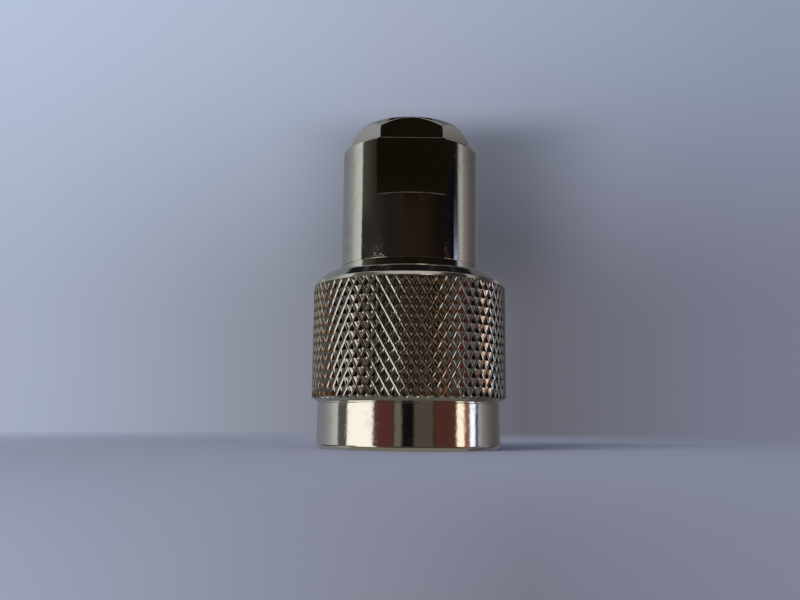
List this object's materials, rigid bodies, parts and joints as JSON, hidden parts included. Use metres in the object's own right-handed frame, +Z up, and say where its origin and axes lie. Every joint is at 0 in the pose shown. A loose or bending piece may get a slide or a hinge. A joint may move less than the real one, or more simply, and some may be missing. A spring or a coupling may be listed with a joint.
{
  "type": "n type adapter",
  "caption": "Straight N type coaxial plug: knurled coupling nut that spins on a flatted barrel, slotted outer contact and centre pin inside, hexagonal cable clamp nut at the rear.",
  "frame": {"origin": "centre of the coupling nut's mouth, on the surface that the plug stands on", "axes": "+Z up the axis from the mating mouth to the cable end; -Y is the side with the wrench flat that the picture shows"},
  "size_m": [0.0204, 0.0204, 0.034],
  "materials": {
    "nickel_nut": "bright nickel plate over brass, knurled",
    "nickel_body": "bright nickel plate over turned brass",
    "contact_plate": "plain nickel plate over brass",
    "spring_bronze": "bare spring bronze",
    "gold_plate": "gold plate over brass",
    "ptfe": "waxy white fluoroplastic",
    "silicone": "matt red silicone",
    "black_rubber": "matt black rubber"
  },
  "bodies": {
    "plug": {"body": "nickel_body", "retaining_ring": "spring_bronze", "outer_contact": "contact_plate", "front_gasket": "silicone", "contact_pin": "gold_plate", "front_insulator": "ptfe", "rear_insulator": "ptfe", "braid_clamp": "contact_plate", "cable_gasket": "black_rubber"},
    "nut": {"coupling_nut": "nickel_nut"},
    "washer": {"pressure_washer": "contact_plate"},
    "clamp": {"clamp_nut": "nickel_body"}
  },
  "joints": [
    {"name": "coupling_nut_spin", "type": "hinge", "parent": "plug", "child": "nut", "pos_m": [0, 0, 0], "axis": [0, 0, 1], "continuous": true},
    {"name": "washer_slide", "type": "slide", "parent": "plug", "child": "washer", "axis": [0, 0, 1], "range_m": [0, 0.00238]},
    {"name": "clamp_nut_turn", "type": "hinge", "parent": "washer", "child": "clamp", "pos_m": [0, 0, 0.0315], "axis": [0, 0, 1], "range_deg": [0, 1080]}
  ],
  "couplings": [
    {"joint": "washer_slide", "follows": "clamp_nut_turn", "m_per_rad": 0.00012632}
  ]
}
